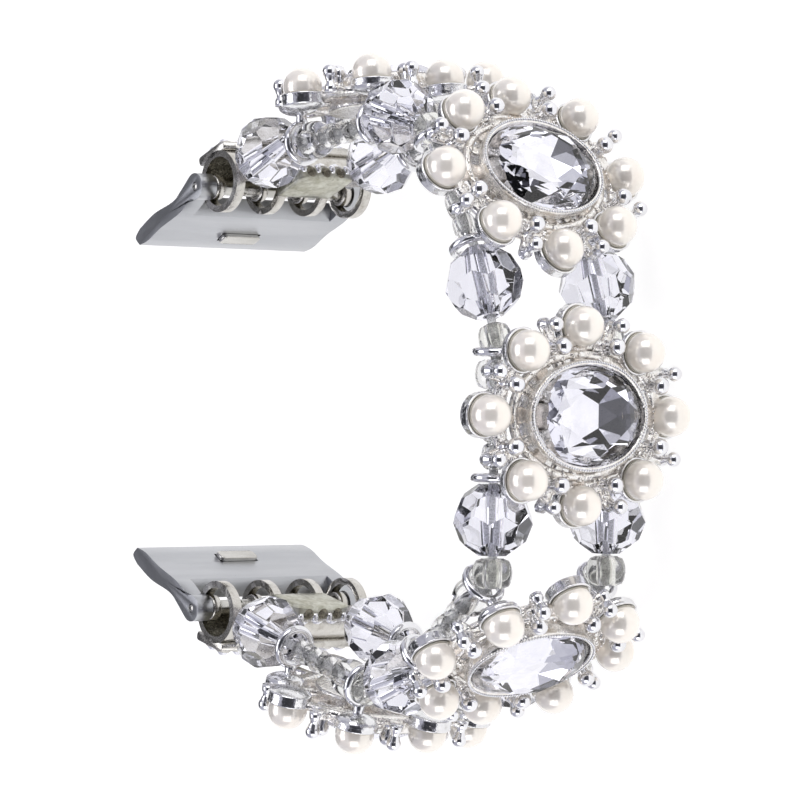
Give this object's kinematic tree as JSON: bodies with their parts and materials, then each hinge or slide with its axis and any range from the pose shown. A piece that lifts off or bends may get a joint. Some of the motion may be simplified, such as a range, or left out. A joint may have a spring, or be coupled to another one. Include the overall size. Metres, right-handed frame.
{
  "type": "bead watch band",
  "caption": "Stretch watch band of pearl flowers and faceted crystals on two elastic cords, with a hinged lug adapter at each end.",
  "frame": {"origin": "middle of the footprint, on the plane that the lowest pearl cups stand on", "axes": "+Z across the band, +X along the loop's longest extent, +Y from the front flower towards the watch head's gap"},
  "size_m": [0.0726, 0.0652, 0.0281],
  "materials": {
    "casting": "bright silver-plated casting",
    "stone": "foil-backed faceted stone, pale lavender",
    "pearl": "cream pearl lacquer",
    "clear_bead": "clear round glass bead",
    "seed_bead": "clear seed bead, faintly warm",
    "crystal": "faceted cut glass",
    "cord": "clear elastic cord",
    "connector": "satin nickel plate",
    "rhinestone": "foil-backed rhinestone",
    "adapter": "satin steel grey",
    "pin": "plain steel"
  },
  "bodies": {
    "front_flower": {"front_flower_casting": "casting", "front_flower_stone": "stone", "front_flower_pearls": "pearl", "front_flower_back_beads": "clear_bead", "front_flower_cords": "cord"},
    "right_front_seeds": {"right_front_seeds": "seed_bead"},
    "right_front_link": {"right_front_cords": "cord"},
    "right_front_flower": {"right_front_flower_casting": "casting", "right_front_flower_stone": "stone", "right_front_flower_pearls": "pearl", "right_front_flower_back_beads": "clear_bead", "right_front_flower_cords": "cord"},
    "right_front_crystal_upper": {"right_front_crystal_upper": "crystal"},
    "right_front_crystal_lower": {"right_front_crystal_lower": "crystal"},
    "right_back_seeds": {"right_back_seeds": "seed_bead"},
    "right_back_link": {"right_back_cords": "cord"},
    "right_back_flower": {"right_back_flower_casting": "casting", "right_back_flower_stone": "stone", "right_back_flower_pearls": "pearl", "right_back_flower_back_beads": "clear_bead", "right_back_flower_cords": "cord"},
    "right_back_crystal_upper": {"right_back_crystal_upper": "crystal"},
    "right_back_crystal_lower": {"right_back_crystal_lower": "crystal"},
    "right_end_link": {"right_end_cords": "cord"},
    "right_connector": {"right_connector": "connector", "right_rhinestones": "rhinestone", "right_cord_knots": "cord"},
    "right_adapter": {"right_adapter": "adapter", "right_pin": "pin"},
    "right_latch": {"right_latch": "pin"},
    "right_end_crystal_upper": {"right_end_crystal_upper": "crystal"},
    "right_end_crystal_lower": {"right_end_crystal_lower": "crystal"},
    "left_front_seeds": {"left_front_seeds": "seed_bead"},
    "left_front_link": {"left_front_cords": "cord"},
    "left_front_flower": {"left_front_flower_casting": "casting", "left_front_flower_stone": "stone", "left_front_flower_pearls": "pearl", "left_front_flower_back_beads": "clear_bead", "left_front_flower_cords": "cord"},
    "left_front_crystal_upper": {"left_front_crystal_upper": "crystal"},
    "left_front_crystal_lower": {"left_front_crystal_lower": "crystal"},
    "left_back_seeds": {"left_back_seeds": "seed_bead"},
    "left_back_link": {"left_back_cords": "cord"},
    "left_back_flower": {"left_back_flower_casting": "casting", "left_back_flower_stone": "stone", "left_back_flower_pearls": "pearl", "left_back_flower_back_beads": "clear_bead", "left_back_flower_cords": "cord"},
    "left_back_crystal_upper": {"left_back_crystal_upper": "crystal"},
    "left_back_crystal_lower": {"left_back_crystal_lower": "crystal"},
    "left_end_link": {"left_end_cords": "cord"},
    "left_connector": {"left_connector": "connector", "left_rhinestones": "rhinestone", "left_cord_knots": "cord"},
    "left_adapter": {"left_adapter": "adapter", "left_pin": "pin"},
    "left_latch": {"left_latch": "pin"},
    "left_end_crystal_upper": {"left_end_crystal_upper": "crystal"},
    "left_end_crystal_lower": {"left_end_crystal_lower": "crystal"}
  },
  "joints": [
    {"name": "right_front_seed_bend", "type": "hinge", "parent": "front_flower", "child": "right_front_seeds", "pos_m": [0.00661, -0.02515, 0.01407], "axis": [0, 0, 1], "range_deg": [-19, 6]},
    {"name": "right_front_stretch", "type": "slide", "parent": "right_front_seeds", "child": "right_front_link", "axis": [0.9455, 0.3256, 0], "range_m": [0, 0.004], "stiffness_N_per_m": 1000},
    {"name": "right_front_crystal_bend", "type": "hinge", "parent": "right_front_link", "child": "right_front_flower", "pos_m": [0.01228, -0.02319, 0.01407], "axis": [0, 0, 1], "range_deg": [-9.5, 2]},
    {"name": "right_front_crystal_upper_spin", "type": "hinge", "parent": "right_front_link", "child": "right_front_crystal_upper", "pos_m": [0.01228, -0.02319, 0.02152], "axis": [0.9455, 0.3256, 0], "continuous": true},
    {"name": "right_front_crystal_lower_spin", "type": "hinge", "parent": "right_front_link", "child": "right_front_crystal_lower", "pos_m": [0.01228, -0.02319, 0.00662], "axis": [0.9455, 0.3256, 0], "continuous": true},
    {"name": "right_back_seed_bend", "type": "hinge", "parent": "right_front_flower", "child": "right_back_seeds", "pos_m": [0.02791, -0.01471, 0.01407], "axis": [0, 0, 1], "range_deg": [-46.5, 6]},
    {"name": "right_back_stretch", "type": "slide", "parent": "right_back_seeds", "child": "right_back_link", "axis": [0.2588, 0.9659, 0], "range_m": [0, 0.004], "stiffness_N_per_m": 1000},
    {"name": "right_back_crystal_bend", "type": "hinge", "parent": "right_back_link", "child": "right_back_flower", "pos_m": [0.02936, -0.0093, 0.01407], "axis": [0, 0, 1], "range_deg": [-22, 2]},
    {"name": "right_back_crystal_upper_spin", "type": "hinge", "parent": "right_back_link", "child": "right_back_crystal_upper", "pos_m": [0.02936, -0.0093, 0.02152], "axis": [0.2588, 0.9659, 0], "continuous": true},
    {"name": "right_back_crystal_lower_spin", "type": "hinge", "parent": "right_back_link", "child": "right_back_crystal_lower", "pos_m": [0.02936, -0.0093, 0.00662], "axis": [0.2588, 0.9659, 0], "continuous": true},
    {"name": "right_end_crystal_bend", "type": "hinge", "parent": "right_back_flower", "child": "right_end_link", "pos_m": [0.02664, 0.01287, 0.01407], "axis": [0, 0, 1], "range_deg": [-15.3, 6]},
    {"name": "right_end_stretch", "type": "slide", "parent": "right_end_link", "child": "right_connector", "axis": [-0.3795, 0.9252, 0], "range_m": [0, 0.004], "stiffness_N_per_m": 1000},
    {"name": "right_end_crystal_upper_spin", "type": "hinge", "parent": "right_end_link", "child": "right_end_crystal_upper", "pos_m": [0.02664, 0.01287, 0.02152], "axis": [-0.3795, 0.9252, 0], "continuous": true},
    {"name": "right_end_crystal_lower_spin", "type": "hinge", "parent": "right_end_link", "child": "right_end_crystal_lower", "pos_m": [0.02664, 0.01287, 0.00662], "axis": [-0.3795, 0.9252, 0], "continuous": true},
    {"name": "right_adapter_hinge", "type": "hinge", "parent": "right_connector", "child": "right_adapter", "pos_m": [0.02311, 0.02147, 0.01407], "axis": [0, 0, 1], "range_deg": [-35, 35]},
    {"name": "right_latch_press", "type": "slide", "parent": "right_adapter", "child": "right_latch", "axis": [0.8796, 0.4756, 0], "range_m": [0, 0.0004], "stiffness_N_per_m": 300},
    {"name": "left_front_crystal_bend", "type": "hinge", "parent": "front_flower", "child": "left_front_link", "pos_m": [-0.01118, -0.02515, 0.01407], "axis": [0, 0, -1], "range_deg": [0, 2]},
    {"name": "left_front_stretch", "type": "slide", "parent": "left_front_link", "child": "left_front_seeds", "axis": [-1, 0, 0], "range_m": [0, 0.004], "stiffness_N_per_m": 1000},
    {"name": "left_front_seed_bend", "type": "hinge", "parent": "left_front_seeds", "child": "left_front_flower", "pos_m": [-0.01648, -0.02515, 0.01407], "axis": [0, 0, -1], "range_deg": [-52, 6]},
    {"name": "left_front_crystal_upper_spin", "type": "hinge", "parent": "left_front_link", "child": "left_front_crystal_upper", "pos_m": [-0.01118, -0.02515, 0.02152], "axis": [1, 0, 0], "continuous": true},
    {"name": "left_front_crystal_lower_spin", "type": "hinge", "parent": "left_front_link", "child": "left_front_crystal_lower", "pos_m": [-0.01118, -0.02515, 0.00662], "axis": [1, 0, 0], "continuous": true},
    {"name": "left_back_crystal_bend", "type": "hinge", "parent": "left_front_flower", "child": "left_back_link", "pos_m": [-0.02774, -0.01074, 0.01407], "axis": [0, 0, -1], "range_deg": [-21, 2]},
    {"name": "left_back_stretch", "type": "slide", "parent": "left_back_link", "child": "left_back_seeds", "axis": [-0.2924, 0.9563, 0], "range_m": [0, 0.004], "stiffness_N_per_m": 1000},
    {"name": "left_back_seed_bend", "type": "hinge", "parent": "left_back_seeds", "child": "left_back_flower", "pos_m": [-0.02929, -0.00567, 0.01407], "axis": [0, 0, -1], "range_deg": [-32, 6]},
    {"name": "left_back_crystal_upper_spin", "type": "hinge", "parent": "left_back_link", "child": "left_back_crystal_upper", "pos_m": [-0.02774, -0.01074, 0.02152], "axis": [0.2924, -0.9563, 0], "continuous": true},
    {"name": "left_back_crystal_lower_spin", "type": "hinge", "parent": "left_back_link", "child": "left_back_crystal_lower", "pos_m": [-0.02774, -0.01074, 0.00662], "axis": [0.2924, -0.9563, 0], "continuous": true},
    {"name": "left_end_crystal_bend", "type": "hinge", "parent": "left_back_flower", "child": "left_end_link", "pos_m": [-0.02453, 0.01209, 0.01407], "axis": [0, 0, -1], "range_deg": [-2, 7.2]},
    {"name": "left_end_stretch", "type": "slide", "parent": "left_end_link", "child": "left_connector", "axis": [0.2385, 0.9711, 0], "range_m": [0, 0.004], "stiffness_N_per_m": 1000},
    {"name": "left_end_crystal_upper_spin", "type": "hinge", "parent": "left_end_link", "child": "left_end_crystal_upper", "pos_m": [-0.02453, 0.01209, 0.02152], "axis": [-0.2385, -0.9711, 0], "continuous": true},
    {"name": "left_end_crystal_lower_spin", "type": "hinge", "parent": "left_end_link", "child": "left_end_crystal_lower", "pos_m": [-0.02453, 0.01209, 0.00662], "axis": [-0.2385, -0.9711, 0], "continuous": true},
    {"name": "left_adapter_hinge", "type": "hinge", "parent": "left_connector", "child": "left_adapter", "pos_m": [-0.02231, 0.02112, 0.01407], "axis": [0, 0, -1], "range_deg": [-35, 35]},
    {"name": "left_latch_press", "type": "slide", "parent": "left_adapter", "child": "left_latch", "axis": [-0.8796, 0.4756, 0], "range_m": [0, 0.0004], "stiffness_N_per_m": 300}
  ],
  "couplings": [
    {"joint": "right_back_stretch", "follows": "right_front_stretch", "ratio": 1},
    {"joint": "right_end_stretch", "follows": "right_front_stretch", "ratio": 1},
    {"joint": "left_front_stretch", "follows": "right_front_stretch", "ratio": 1},
    {"joint": "left_back_stretch", "follows": "right_front_stretch", "ratio": 1},
    {"joint": "left_end_stretch", "follows": "right_front_stretch", "ratio": 1}
  ]
}
